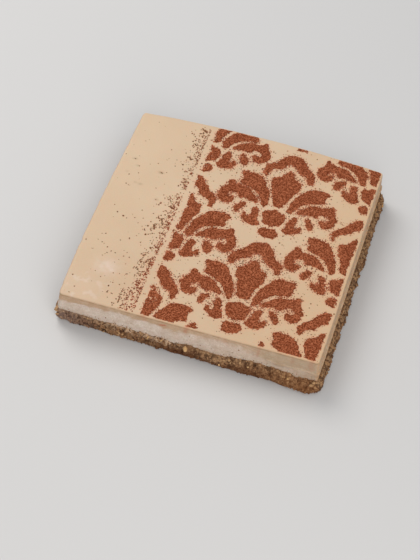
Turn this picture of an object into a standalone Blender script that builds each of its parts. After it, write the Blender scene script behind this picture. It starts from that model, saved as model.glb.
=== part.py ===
# A square coffee cheesecake: a pressed crumb base, a pale cheesecake layer and a coffee layer,
# with a damask of sifted cocoa standing proud of the top.
# Metres, +Z up. The origin lies under the middle of the base, on the surface it stands on.
# Seen from above, +X is right and +Y is the back.

import math

import bmesh
import bpy
from mathutils import Matrix, Vector, noise

MM = 0.001
TOUCH = 0.001 * MM

# The cake tin and the two creams.
SIDE = 200 * MM
HALF = SIDE / 2
CREAM_TOP = 31.5 * MM
CREAM_BOTTOM = 12.2 * MM
CREAM_CORNER = 2.5 * MM
TOP_EDGE = 1 * MM
CORNER_SEGMENTS = 3
EDGE_SEGMENTS = 2
GAP = 0.3 * MM
CREAM_STEP = 10 * MM

# How far the cut edges stand out from the true square. The left one is given as places along
# it, front to back, in millimetres, and both sides lean out to their feet.
BACK_OUT = 0.6 * MM
BACK_BOW = 5 * MM
LEFT_EDGE = ((-100, 2.2), (-90, 3.2), (-40, 4), (0, 3.5), (25, 2.9), (50, 1.9), (75, 1.2),
             (100, 0.3))
LEFT_FOOT = 4.2 * MM
RIGHT_FOOT = 0.65 * MM

# The wavy line between the creams: places across the cake and its depth there, in millimetres,
# the waves along the cake as (wavelength, height), and how far in from the sides it stays wavy.
BLEND_LINE = ((-100, 8.5), (-75, 6.5), (-55, 5), (-42, 7), (-30, 6), (-10, 8.5), (8, 6),
              (25, 4.6), (42, 4.8), (60, 11), (72, 13.5), (85, 12), (100, 14))
BLEND_DEPTH = 8.5 * MM
BLEND_WAVES = ((34 * MM, 3 * MM), (16 * MM, 1.2 * MM))
BLEND_SEED = 0.5
BLEND_REACH = 18 * MM

# The crumb base: craggy and thinner towards +X. Its foot stands out at the front, more so
# towards +X, with a sloping shoulder above it, and at the right, in one slope from the rim.
# Its corners wore off unevenly: the radii run front left, front right, back right, back left.
BASE_LOW = Vector((-104.5 * MM, -100.2 * MM, 0))
BASE_HIGH = Vector((101.4 * MM, 98.8 * MM, CREAM_BOTTOM - GAP))
BASE_CORNERS = (2.5 * MM, 10 * MM, 3 * MM, 5 * MM)
BASE_FALL = 0.13
FRONT_OUT = 2.8 * MM
FRONT_SKEW = 3.2 * MM
SHOULDER = 0.4
RIGHT_OUT = 3.4 * MM
BASE_STEP = 3.5 * MM
BASE_ROWS = 5
CRAGS = ((8 * MM, 1.7 * MM), (2.9 * MM, 0.9 * MM))
CRAG_SEED = 11.3
RIM_DIP = 1.2 * MM
RIM_DIP_WAVE = 6 * MM
RIM_DIP_FULL_AT = 0.5
FOOT_TUCK = 0.6 * MM

# The stencil: its window, the height of the cocoa and the half-drop lattice of the damask.
WINDOW_LEFT = -38.6 * MM
WINDOW_RIGHT = 98 * MM
WINDOW_MARGIN = 0.8 * MM
COCOA_HEIGHT = 0.5 * MM
COCOA_ROOT = 1 * MM
COLUMN_SPACING = 67.8 * MM
MIDDLE_COLUMN = 29.3 * MM
REPEAT = 97.8 * MM
FIRST_DROP = -87.6 * MM
CURVE_STEPS = 2
SLIVER = 1 * MM

# How the stencil lies on the cake: its columns lean to +X and its rows fall towards +X by these
# shares. The pattern is a little closer at the cake's back edge, and wider at the front.
STENCIL_LEAN = 0.0086
STENCIL_FALL = 0.0218
CLOSER_FROM = 80 * MM
CLOSER_BY = 0.13
WIDER_FROM = -90 * MM
WIDER_BY = 0.4

# One motif, in millimetres from the middle of its drop. The first four outlines are the right
# half, from the top of the middle line to its bottom; the rest have a twin across that line.
HALF_OUTLINES = {
    "drop": ((0, 3.4), (3.6, 4.5), (7.2, 2.4), (8.2, -0.4), (6.4, -3.4), (3.2, -5.1), (0, -5.5)),
    "calyx": ((0, 25.2), (2.2, 23.8), (5.5, 22.2), (8.6, 21), (9.4, 17.4), (8.4, 13.4),
              (7, 9.2), (4.8, 8.2), (2.6, 7.8), (0, 6.2)),
    "palmette": ((0, 67.5), (2.6, 65.8), (4.6, 62.5), (6.4, 59.4), (9.8, 58.8), (12, 56.6),
                 (12, 52.5), (11.6, 48.6), (9, 44.4), (7.4, 40), (6, 35), (4.6, 29.4), (0, 28)),
    "arch": ((0, 87.3), (4.6, 86.4), (8, 83), (10.6, 79.4), (13, 75.2), (17, 72.4), (20.4, 68),
             (20.8, 63.4), (19.2, 58.6), (16.8, 58.4), (15.8, 62.2), (14, 65.6), (9.6, 66.8),
             (6.2, 69.4), (4, 73.6), (0, 75.4)),
}
TWIN_OUTLINES = {
    "hook": ((17, 22.6), (13.4, 20.8), (11.8, 15), (10.6, 9.8), (8.8, 6.4), (11.2, 3.8),
             (16, 3.5), (21.2, 6.2), (24, 10.2), (22.6, 15), (21, 13.5), (19.5, 10.6),
             (18, 12), (18.2, 16.5), (18.8, 20)),
    "leaf": ((24, 24), (28, 23.2), (31, 21), (32.4, 17.5), (31.6, 13.4), (29.6, 12),
             (27.2, 14.5), (25, 19)),
    "scroll": ((42.2, 44.5), (38.6, 41.5), (34, 39.8), (28.5, 39.4), (23.5, 37), (19.6, 33),
               (16, 26.4), (21, 27.4), (27, 28.2), (31.8, 27.6), (33.6, 31), (37.6, 31.6),
               (40.7, 29.4), (40.6, 26), (38.8, 25.6), (36.4, 27), (34.3, 24.4), (36, 20.4),
               (40.5, 18), (45, 20), (47.7, 24.5), (48.2, 30), (46.6, 34), (44.2, 38)),
    "petal": ((36.8, 54.4), (31, 56.2), (25, 56.2), (19.6, 54.8), (16.4, 50.6), (12.4, 44.4),
              (9.4, 39.6), (8.3, 33), (8, 26.4), (11, 24.2), (13.6, 28.6), (17, 34.6),
              (21.4, 38.4), (28, 41.3), (35.2, 43.8), (34, 47.6), (35.4, 51)),
}

# Faces count as level, and as one flat face, within these.
LEVEL_NORMAL = 0.999999
FLAT_ANGLE = 0.002
SIDEWAYS = 0.1

COLOURS = {
    "crumb_base": (0.15, 0.075, 0.032),
    "cheesecake_layer": (0.56, 0.44, 0.34),
    "coffee_topping": (0.62, 0.45, 0.30),
}
ROUGHNESS = {"crumb_base": 0.95, "cheesecake_layer": 0.6, "coffee_topping": 0.6}


def clear_scene():
    for item in list(bpy.data.objects):
        bpy.data.objects.remove(item, do_unlink=True)


def new_collection(name):
    collection = bpy.data.collections.new(name)
    bpy.context.scene.collection.children.link(collection)
    return collection


def food_material(name):
    material = bpy.data.materials.new(name)
    material.use_nodes = True
    shader = material.node_tree.nodes["Principled BSDF"]
    shader.inputs["Base Color"].default_value = (*COLOURS[name], 1)
    shader.inputs["Roughness"].default_value = ROUGHNESS[name]
    shader.inputs["Metallic"].default_value = 0
    return material


def object_from(cage, name, collection):
    mesh = bpy.data.meshes.new(name)
    cage.to_mesh(mesh)
    cage.free()
    item = bpy.data.objects.new(name, mesh)
    collection.objects.link(item)
    return item


def cut_lines(low, high, step):
    """Places of the cuts between low and high, about a step apart."""
    cells = max(1, round((high - low) / step))
    return [low + (high - low) * i / cells for i in range(1, cells)]


def cut_across(cage, axis, places):
    normal = Vector((0, 0, 0))
    normal[axis] = 1
    for place in places:
        everything = cage.verts[:] + cage.edges[:] + cage.faces[:]
        bmesh.ops.bisect_plane(cage, geom=everything, dist=TOUCH, plane_co=normal * place, plane_no=normal)


def bevel_edges(cage, edges, width, segments):
    bmesh.ops.bevel(cage, geom=edges, offset=width, segments=segments, profile=0.5, affect="EDGES")


def block(low, high, corners, top_edge=0):
    """A square block with rounded upright corners and, if asked, a softened top edge."""
    cage = bmesh.new()
    bmesh.ops.create_cube(cage, size=1)
    for vert in cage.verts:
        share = vert.co + Vector((0.5, 0.5, 0.5))
        vert.co = Vector([low[i] + (high[i] - low[i]) * share[i] for i in range(3)])
    upright = [e for e in cage.edges if abs(e.verts[0].co.z - e.verts[1].co.z) > MM]
    upright.sort(key=lambda e: math.atan2(e.verts[0].co.y, e.verts[0].co.x))
    for edge, radius in zip(upright, corners):
        bevel_edges(cage, [edge], radius, CORNER_SEGMENTS)
    if top_edge:
        rim = [e for e in cage.edges if min(v.co.z for v in e.verts) > high[2] - TOUCH]
        bevel_edges(cage, rim, top_edge, EDGE_SEGMENTS)
    return cage


def cut_into_cells(cage, low, high, step, rows):
    for axis in (0, 1):
        cut_across(cage, axis, cut_lines(low[axis], high[axis], step))
    cut_across(cage, 2, cut_lines(low[2], high[2], (high[2] - low[2]) / rows))


def settle_cells(cage):
    """Splits the bent cells, alike in facing layers, and joins the level ones into one large face."""
    cage.normal_update()
    bent = [face for face in cage.faces if abs(face.normal.z) <= LEVEL_NORMAL]
    bmesh.ops.triangulate(cage, faces=bent, quad_method="SHORT_EDGE")
    level = {face for face in cage.faces if abs(face.normal.z) > LEVEL_NORMAL}
    edges = [e for e in cage.edges if all(face in level for face in e.link_faces)]
    verts = [v for v in cage.verts if all(face in level for face in v.link_faces)]
    bmesh.ops.dissolve_limit(cage, angle_limit=FLAT_ANGLE, verts=verts, edges=edges)


def eased(table, place):
    """Reads a table of (place, value) pairs in millimetres, eased from one to the next."""
    places = [(start * MM, value * MM) for start, value in table]
    place = min(places[-1][0], max(places[0][0], place))
    for (start, value), (end, next_value) in zip(places, places[1:]):
        if place <= end:
            share = (place - start) / (end - start)
            return value + (next_value - value) * share * share * (3 - 2 * share)


def share_towards(place, far_end):
    """0 at one end of the cake's side, 1 at the far end."""
    return min(1, max(0, 0.5 + place / far_end / 2))


def back_bulge(x):
    return BACK_OUT + BACK_BOW * (1 - (x / HALF) ** 2)


def bowed(point):
    """Moves a point of the true square to where the cake's bulging edges take it."""
    depth = (CREAM_TOP - point.z) / (CREAM_TOP - CREAM_BOTTOM)
    top_bulge = eased(LEFT_EDGE, point.y)
    left_bulge = top_bulge + (LEFT_FOOT - top_bulge) * depth
    right_bulge = RIGHT_FOOT * depth
    x = point.x - left_bulge * share_towards(point.x, -HALF) + right_bulge * share_towards(point.x, HALF)
    y = point.y + back_bulge(point.x) * share_towards(point.y, HALF)
    return Vector((x, y, point.z))


def waves(point, sizes, seed):
    """Smooth noise, summed over (wavelength, height) pairs."""
    return sum(height * noise.noise(point / length + Vector((seed, seed, seed))) for length, height in sizes)


def blend_height(point):
    """Height of the line between the creams: wavy at the sides, level farther in."""
    inside = HALF - max(abs(point.x), abs(point.y))
    fade = max(0, 1 - inside / BLEND_REACH)
    along = waves(Vector((0, point.y + HALF, 0)), BLEND_WAVES, BLEND_SEED)
    depth = eased(BLEND_LINE, point.x) + along
    return CREAM_TOP - BLEND_DEPTH - fade * (depth - BLEND_DEPTH)


def fallen(point):
    """The height that a point of the level base comes to, as the base thins towards +X."""
    return point.z * (1 - BASE_FALL * point.x / HALF)


def cream_layer(name, low_z, high_z, shift, top_edge, collection):
    """One cream; shift says which of its two faces follows the wavy line, and how far off it."""
    low = Vector((-HALF, -HALF, low_z))
    high = Vector((HALF, HALF, high_z))
    cage = block(low, high, (CREAM_CORNER,) * 4, top_edge)
    cut_into_cells(cage, low, high, CREAM_STEP, 1)
    wavy_z = low_z if top_edge else high_z
    for vert in cage.verts:
        wavy = abs(vert.co.z - wavy_z) < TOUCH
        place = bowed(vert.co)
        if wavy:
            place.z = blend_height(vert.co) + shift
        vert.co = place
    settle_cells(cage)
    for vert in cage.verts:
        if vert.co.z < CREAM_BOTTOM + TOUCH:
            vert.co.z = fallen(vert.co)
    return object_from(cage, name, collection)


def spread_foot(point):
    """Moves a point of the upright base to where its sloping sides and bulging back take it."""
    below_rim = 1 - point.z / BASE_HIGH.z
    front_out = (FRONT_OUT + FRONT_SKEW * point.x / HALF) * min(1, below_rim / SHOULDER)
    back_out = back_bulge(point.x)
    x = point.x + RIGHT_OUT * below_rim * share_towards(point.x, HALF)
    y = point.y - front_out * share_towards(point.y, -HALF) + back_out * share_towards(point.y, HALF)
    return Vector((x, y, point.z))


def crumb_base(collection):
    cage = block(BASE_LOW, BASE_HIGH, BASE_CORNERS)
    cut_into_cells(cage, BASE_LOW, BASE_HIGH, BASE_STEP, BASE_ROWS)
    cage.normal_update()
    for vert in cage.verts:
        vert.co = spread_foot(vert.co)
    for vert in cage.verts:
        outward = Vector((vert.normal.x, vert.normal.y, 0))
        if outward.length < SIDEWAYS:
            continue
        start = vert.co.copy()
        foot = max(0, 1 - start.z / BASE_STEP)
        vert.co += outward.normalized() * (waves(start, CRAGS, CRAG_SEED) - FOOT_TUCK * foot)
        if start.z > BASE_HIGH.z - TOUCH:
            vert.co.z -= RIM_DIP * min(1, abs(noise.noise(start / RIM_DIP_WAVE)) / RIM_DIP_FULL_AT)
    settle_cells(cage)
    for vert in cage.verts:
        vert.co.z = fallen(vert.co)
    return object_from(cage, "crumb_base", collection)


def motif_outlines():
    """All the closed outlines of one motif, in millimetres from the middle of its drop."""
    outlines = []
    for right in HALF_OUTLINES.values():
        left = [(-x, y) for x, y in reversed(right[1:-1])]
        outlines.append(list(right) + left)
    for right in TWIN_OUTLINES.values():
        outlines.append(list(right))
        outlines.append([(-x, y) for x, y in reversed(right)])
    return outlines


def motif_places():
    """Middle of each drop that the cake's top could show part of the motif of."""
    places = []
    for column in (-1, 0, 1):
        start = FIRST_DROP + REPEAT / 2 * (column % 2)
        for repeat in (-1, 0, 1):
            places.append(Vector((MIDDLE_COLUMN + column * COLUMN_SPACING, start + repeat * REPEAT)))
    return places


def laid(x, y):
    """Where a point of the even lattice comes to lie on the cake."""
    y -= CLOSER_BY * max(0, y - CLOSER_FROM) + WIDER_BY * max(0, WIDER_FROM - y)
    return x + STENCIL_LEAN * y, y - STENCIL_FALL * x


def on_the_cake(points):
    """Whether more than a sliver of an outline lies in the stencil's window."""
    xs = [x for x, y in points]
    ys = [y for x, y in points]
    beyond_sides = min(xs) > WINDOW_RIGHT - SLIVER or max(xs) < WINDOW_LEFT + SLIVER
    beyond_ends = min(ys) > HALF or max(ys) < -HALF + WINDOW_MARGIN + SLIVER
    return not (beyond_sides or beyond_ends)


def add_outline(curve, points):
    """A closed smooth outline through the points, as one spline of a filled curve."""
    spline = curve.splines.new("BEZIER")
    spline.bezier_points.add(len(points) - 1)
    spline.use_cyclic_u = True
    spline.resolution_u = CURVE_STEPS
    for knot, (x, y) in zip(spline.bezier_points, points):
        knot.co = (x, y, 0)
        knot.handle_left_type = "AUTO"
        knot.handle_right_type = "AUTO"


def cocoa_curve(collection):
    curve = bpy.data.curves.new("cocoa_outlines", "CURVE")
    curve.dimensions = "2D"
    curve.fill_mode = "BOTH"
    curve.extrude = (COCOA_HEIGHT + COCOA_ROOT) / 2
    curve.resolution_u = CURVE_STEPS
    curve.render_resolution_u = 0
    for place in motif_places():
        for outline in motif_outlines():
            points = [laid(place.x + x * MM, place.y + y * MM) for x, y in outline]
            if on_the_cake(points):
                add_outline(curve, points)
    item = bpy.data.objects.new("cocoa_outlines", curve)
    item.location.z = CREAM_TOP + (COCOA_HEIGHT - COCOA_ROOT) / 2
    collection.objects.link(item)
    return item


def mesh_object_from(curve_item, name, collection):
    """The curve's solid as a mesh, its caps welded to its walls."""
    bpy.context.view_layer.update()
    evaluated = curve_item.evaluated_get(bpy.context.evaluated_depsgraph_get())
    mesh = bpy.data.meshes.new_from_object(evaluated)
    mesh.transform(curve_item.matrix_world)
    bpy.data.objects.remove(curve_item, do_unlink=True)
    cage = bmesh.new()
    cage.from_mesh(mesh)
    bmesh.ops.remove_doubles(cage, verts=cage.verts[:], dist=TOUCH)
    bmesh.ops.recalc_face_normals(cage, faces=cage.faces[:])
    bpy.data.meshes.remove(mesh)
    return object_from(cage, name, collection)


def stencil_window(collection):
    """The space that the stencil lets cocoa into, just short of the cake's front and back edges."""
    low = Vector((WINDOW_LEFT, -HALF + WINDOW_MARGIN, CREAM_TOP - 2 * COCOA_ROOT))
    high = Vector((WINDOW_RIGHT, HALF - WINDOW_MARGIN, CREAM_TOP + 2 * COCOA_HEIGHT))
    cage = bmesh.new()
    stretch = Matrix.Diagonal((*(high - low), 1))
    bmesh.ops.create_cube(cage, size=1, matrix=Matrix.Translation((low + high) / 2) @ stretch)
    cut_across(cage, 0, cut_lines(low.x, high.x, CREAM_STEP))
    for vert in cage.verts:
        vert.co.x += STENCIL_LEAN * vert.co.y
        if vert.co.y > 0:
            vert.co.y += back_bulge(vert.co.x)
    window = object_from(cage, "stencil_window", collection)
    window.display_type = "WIRE"
    window.hide_render = True
    return window


def apply_boolean(item, operation, other=None, collection=None):
    """Applies one Boolean with an object or with all the objects of a collection."""
    modifier = item.modifiers.new(operation.lower(), "BOOLEAN")
    modifier.operation = operation
    modifier.solver = "EXACT"
    modifier.operand_type = "COLLECTION" if collection else "OBJECT"
    if collection:
        modifier.collection = collection
    else:
        modifier.object = other
    bpy.context.view_layer.update()
    evaluated = item.evaluated_get(bpy.context.evaluated_depsgraph_get())
    mesh = bpy.data.meshes.new_from_object(evaluated)
    item.modifiers.clear()
    item.data = mesh


def fuse_cocoa(topping, helpers, cocoa_pieces):
    """Cuts the damask to the stencil's window and joins it to the coffee layer."""
    cocoa = mesh_object_from(cocoa_curve(helpers), "cocoa", cocoa_pieces)
    window = stencil_window(helpers)
    apply_boolean(cocoa, "INTERSECT", other=window)
    apply_boolean(topping, "UNION", collection=cocoa_pieces)
    bpy.data.objects.remove(cocoa, do_unlink=True)
    bpy.data.objects.remove(window, do_unlink=True)


def stand_on_origin(parts):
    """Moves the parts together until the origin is under the middle of their box."""
    corners = [vert.co for part in parts for vert in part.data.vertices]
    low = Vector([min(c[i] for c in corners) for i in range(3)])
    high = Vector([max(c[i] for c in corners) for i in range(3)])
    shift = Vector((-(low.x + high.x) / 2, -(low.y + high.y) / 2, -low.z))
    for part in parts:
        for vert in part.data.vertices:
            vert.co += shift


def main():
    clear_scene()
    cake = new_collection("coffee_cheesecake")
    helpers = new_collection("helpers")
    cocoa_pieces = new_collection("cocoa_pieces")
    base = crumb_base(cake)
    pale_top = CREAM_TOP - BLEND_DEPTH
    pale = cream_layer("cheesecake_layer", CREAM_BOTTOM, pale_top, -GAP, 0, cake)
    topping = cream_layer("coffee_topping", pale_top, CREAM_TOP, 0, TOP_EDGE, cake)
    fuse_cocoa(topping, helpers, cocoa_pieces)
    parts = [base, pale, topping]
    stand_on_origin(parts)
    for part in parts:
        part.data.materials.clear()
        part.data.materials.append(food_material(part.name))


main()
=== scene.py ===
# Looks for the coffee cheesecake: two creams on a crumb base, cocoa sifted through a damask stencil.
# Lengths are in millimetres. Plan places are measured from the middle of the cake's top,
# x to the right and y to the back, and heights from the surface that the cake stands on.

import math

import bmesh
import bpy
import numpy as np
from mathutils import Matrix, Vector, kdtree, noise
from mathutils.bvhtree import BVHTree
from mathutils.geometry import delaunay_2d_cdt


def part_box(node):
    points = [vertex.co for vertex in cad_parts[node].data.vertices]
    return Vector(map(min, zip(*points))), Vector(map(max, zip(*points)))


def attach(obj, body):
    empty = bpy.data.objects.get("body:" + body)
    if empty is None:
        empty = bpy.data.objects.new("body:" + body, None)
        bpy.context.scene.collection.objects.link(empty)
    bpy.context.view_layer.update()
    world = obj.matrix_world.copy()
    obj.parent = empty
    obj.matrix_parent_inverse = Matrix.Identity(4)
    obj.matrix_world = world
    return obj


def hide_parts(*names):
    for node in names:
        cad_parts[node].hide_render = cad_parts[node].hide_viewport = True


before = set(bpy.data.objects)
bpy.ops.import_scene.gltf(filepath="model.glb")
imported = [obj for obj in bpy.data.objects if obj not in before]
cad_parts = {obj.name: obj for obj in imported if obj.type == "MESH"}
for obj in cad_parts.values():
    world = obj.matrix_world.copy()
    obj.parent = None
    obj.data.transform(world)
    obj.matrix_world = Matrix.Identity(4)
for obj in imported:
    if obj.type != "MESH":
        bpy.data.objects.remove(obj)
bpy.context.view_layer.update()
mm = 0.001

cake = {
    "halfSide": 100,
    "reliefHeight": 0.5,  # cocoa above the coffee layer
    "gap": 0.3,  # between the solids, closed here
    "belowEdge": 1.1,  # just under the rounding of the top's edge
    "sideReach": 14,  # how far from its outline a side is looked for
    "outlineRays": 4000,
    "outlineDepth": 3,  # how far under the top the creams' outline is taken
    "spacing": 0.8,  # of its points
    "easing": 2.5,
    "rayStart": 5,  # how far above the top, or under the foot, a solid is looked for
    "fillJitter": 0.25,  # shifts the inner points of a filled ring, as a share of their spacing
    "facing": (0.35, 0.85),  # how squarely a side faces a way before it counts, and counts in full
    "stretched": (0.65, 1.35),  # crumbs and grains, each way
    "seed": 7,
}


# Noise and easing, on arrays of points

def softNoise(points, size, seed, stretch=(1, 1, 1)):
    # smooth bumps as large as size, from -1 to 1
    places = np.asarray(points) / (size * np.array(stretch)) + seed
    return np.array([noise.noise(place) for place in places.tolist()])


def layeredNoise(points, seed, *layers):
    # the sum of soft noises, each given as its size and height
    return sum(height * softNoise(points, size, seed + size) for size, height in layers)


def lumpNoise(points, size, seed, steep=1.6):
    # 1 on top of each rounded lump, 0 in the creases between them
    places = np.asarray(points) / size + seed
    near = np.array([noise.voronoi(place)[0][0] for place in places.tolist()])
    return np.clip(1 - steep * near ** 2, 0, 1)


def ease(low, high, values):
    share = np.clip((values - low) / (high - low), 0, 1)
    return share * share * (3 - 2 * share)


def flatPoints(plan):
    return np.column_stack([plan, np.zeros(len(plan))])


draws = ("fill", "crumbs", "cocoa", "speckPlaces", "specks", "stuck")


def drawOf(name):
    # random numbers for one use, the same each time
    return np.random.default_rng(cake["seed"] + draws.index(name))


def drawSizes(draw, limits, count, power=1):
    # random sizes between limits; the higher the power, the more of them are small
    low, high = limits
    return low + (high - low) * draw.random(count) ** power


def blurred(grid, sigma):
    # a grid softened by a bell curve, sigma in cells
    reach = math.ceil(3 * sigma)
    weights = np.exp(-0.5 * (np.arange(-reach, reach + 1) / sigma) ** 2)
    weights /= weights.sum()
    for axis in (0, 1):
        padded = np.pad(grid, [(reach, reach) if axis == side else (0, 0) for side in (0, 1)], "edge")
        grid = sum(weight * np.take(padded, np.arange(grid.shape[axis]) + step, axis)
                   for step, weight in enumerate(weights))
    return grid


# Reading the solids

def treeOf(nodeName):
    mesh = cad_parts[nodeName].data
    corners = [vert.co / mm for vert in mesh.vertices]
    return BVHTree.FromPolygons(corners, [tuple(face.vertices) for face in mesh.polygons])


def outlineOf(tree, height, spacing, easing):
    # even points round a solid at that height, the eased way out at each, and the walk to each
    hits = []
    for turn in np.linspace(0, 2 * np.pi, cake["outlineRays"], endpoint=False):
        out = Vector((math.cos(turn), math.sin(turn), 0))
        start = Vector((*middle, height)) + out * 2 * cake["halfSide"]
        hits.append(tree.ray_cast(start, -out)[0].xy)
    walk = np.array(hits + hits[:1])
    along = np.concatenate([[0], np.cumsum(np.linalg.norm(np.diff(walk, axis=0), axis=1))])
    places = np.linspace(0, along[-1], round(along[-1] / spacing), endpoint=False)
    points = np.column_stack([np.interp(places, along, walk[:, axis]) for axis in (0, 1)])
    reach = max(1, round(easing / spacing))
    tangent = np.roll(points, -reach, axis=0) - np.roll(points, reach, axis=0)
    outward = np.column_stack([tangent[:, 1], -tangent[:, 0]])
    return points, outward / np.linalg.norm(outward, axis=1)[:, None], places


def sideRing(tree, points, outward, heights):
    # where a solid's side is at those heights
    ring = []
    for point, out, height in zip(points, outward, heights):
        away = Vector((*out, 0))
        start = Vector((*point, height)) + away * cake["sideReach"]
        hit = tree.ray_cast(start, -away, 2 * cake["sideReach"])[0]
        ring.append(tuple(hit) if hit else (*point, height))
    return np.array(ring)


def heightsUnder(tree, points, start, way):
    # heights where straight lines down or up from the start meet a solid
    hits = [tree.ray_cast(Vector((*point, start)), Vector((0, 0, way)))[0] for point in points]
    found = np.array([hit.z if hit else np.nan for hit in hits])
    good = ~np.isnan(found)
    order = np.arange(len(found))
    return np.interp(order, order[good], found[good], period=len(found))


coffeeTree = treeOf("coffee_topping")
paleTree = treeOf("cheesecake_layer")
baseTree = treeOf("crumb_base")
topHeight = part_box("coffee_topping")[1].z / mm - cake["reliefHeight"]
fromRight = Vector((2 * cake["halfSide"], 0, topHeight - cake["belowEdge"]))
rightSide = coffeeTree.ray_cast(fromRight, Vector((-1, 0, 0)))[0].x
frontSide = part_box("coffee_topping")[0].y / mm
middle = np.array([rightSide - cake["halfSide"], frontSide + cake["halfSide"]])
outline, outward, walked = outlineOf(coffeeTree, topHeight - cake["outlineDepth"], cake["spacing"],
                                     cake["easing"])
print("frame read, top at", round(topHeight, 2), "mm")


# Making meshes

def fillRing(ring, spacing=None):
    # triangles inside a ring, and the inner points they need if a spacing is given
    count = len(ring)
    flat = ring[:, :2]
    if spacing:
        low, high = flat.min(0), flat.max(0)
        steps = [np.arange(low[axis], high[axis], spacing) for axis in (0, 1)]
        inner = np.column_stack([part.ravel() for part in np.meshgrid(*steps)])
        inner += drawOf("fill").uniform(-1, 1, inner.shape) * cake["fillJitter"] * spacing
        flat = np.vstack([flat, inner[insideRing(inner, ring, spacing)]])
    edges = [(i, (i + 1) % count) for i in range(count)]
    made = delaunay_2d_cdt([Vector(point) for point in flat.tolist()], edges, [], 1, 1e-6)
    triangles = [[made[3][v][0] for v in face] for face in made[2]]
    return flat[count:], triangles


def insideRing(points, ring, margin):
    # true for the points that lie inside a ring by about the margin
    centre = ring[:, :2].mean(0)
    spoke = ring[:, :2] - centre
    turn = np.arctan2(spoke[:, 1], spoke[:, 0])
    order = np.argsort(turn)
    away = points - centre
    limit = np.interp(np.arctan2(away[:, 1], away[:, 0]), turn[order],
                      np.linalg.norm(spoke, axis=1)[order], period=2 * np.pi)
    return np.linalg.norm(away, axis=1) < limit - margin


def loft(rings, topSpacing=None):
    # a closed body from rings that run from its top to its bottom
    count = len(rings[0])
    around = np.arange(count)
    after = (around + 1) % count
    faces = []
    for row in range(len(rings) - 1):
        upper, lower = row * count, (row + 1) * count
        faces += np.column_stack([upper + around, lower + around, lower + after, upper + after]).tolist()
    inner, triangles = fillRing(rings[0], topSpacing)
    corners = np.vstack(rings)
    start = len(corners) - count
    faces += [[v if v < count else start + v for v in triangle] for triangle in triangles]
    corners = np.vstack([corners, np.column_stack([inner, np.full(len(inner), rings[0][:, 2].mean())])])
    _, triangles = fillRing(rings[-1])
    faces += [[start + v for v in reversed(triangle)] for triangle in triangles]
    return corners, faces


def meshPiece(name, corners, faces, finish, nodes=(), marks=None, crisp=None):
    # a shown piece from points in millimetres; marks are numbers kept at its points, and edges
    # that bend by more than crisp degrees stay sharp
    mesh = bpy.data.meshes.new(name)
    mesh.from_pydata((np.asarray(corners) * mm).tolist(), [], faces)
    for mark, values in (marks or {}).items():
        layer = mesh.attributes.new(mark, "FLOAT", "POINT")
        layer.data.foreach_set("value", np.asarray(values, np.float32))
    mesh.shade_smooth()
    if crisp:
        mesh.set_sharp_from_angle(angle=math.radians(crisp))
    mesh.materials.append(finish)
    piece = addObject(name, mesh)
    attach(piece, "root")
    if nodes:
        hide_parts(*nodes)
    print(name, sum(len(face) - 2 for face in faces), "triangles")


def addObject(name, data):
    added = bpy.data.objects.new(name, data)
    bpy.context.scene.collection.objects.link(added)
    return added


def normalsOf(corners, faces):
    # the way out at each point of a closed body
    mesh = bpy.data.meshes.new("measure")
    mesh.from_pydata(corners.tolist(), [], faces)
    found = np.zeros(len(corners) * 3, np.float32)
    mesh.vertices.foreach_get("normal", found)
    bpy.data.meshes.remove(mesh)
    return found.reshape(-1, 3).astype(float)


def blobTemplate(rounds):
    # points and faces of a small ball that crumbs and grains are made from
    ball = bmesh.new()
    bmesh.ops.create_icosphere(ball, subdivisions=rounds, radius=1)
    points = np.array([vert.co for vert in ball.verts])
    faces = np.array([[vert.index for vert in face.verts] for face in ball.faces])
    ball.free()
    return points, faces


def turnsOf(draw, count):
    # random turns as matrices
    spins = draw.normal(size=(4, count))
    a, b, c, d = spins / np.linalg.norm(spins, axis=0)
    return np.array([
        [1 - 2 * (c * c + d * d), 2 * (b * c - d * a), 2 * (b * d + c * a)],
        [2 * (b * c + d * a), 1 - 2 * (b * b + d * d), 2 * (c * d - b * a)],
        [2 * (b * d - c * a), 2 * (c * d + b * a), 1 - 2 * (b * b + c * c)],
    ]).transpose(2, 0, 1)


def blobs(centres, sizes, draw, rounds, uneven, flatten=1):
    # many uneven little bodies as one mesh; sizes are their mean radii
    points, faces = blobTemplate(rounds)
    count = len(centres)
    shapes = points[None] * (1 + draw.uniform(-uneven, uneven, (count, len(points), 1)))
    shapes = shapes * draw.uniform(*cake["stretched"], (count, 1, 3))
    shapes = np.einsum("nij,nkj->nki", turnsOf(draw, count), shapes)
    shapes[:, :, 2] *= flatten
    corners = (shapes * np.asarray(sizes)[:, None, None] + np.asarray(centres)[:, None]).reshape(-1, 3)
    steps = np.arange(count)[:, None, None] * len(points)
    return corners, (faces[None] + steps).reshape(-1, 3).tolist()


# Making finishes

def linear(colour):
    # a colour written as #rrggbb, as Blender wants it
    parts = [int(colour[i:i + 2], 16) / 255 for i in (1, 3, 5)]
    return (*[part / 12.92 if part <= 0.04045 else ((part + 0.055) / 1.055) ** 2.4 for part in parts], 1)


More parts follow.
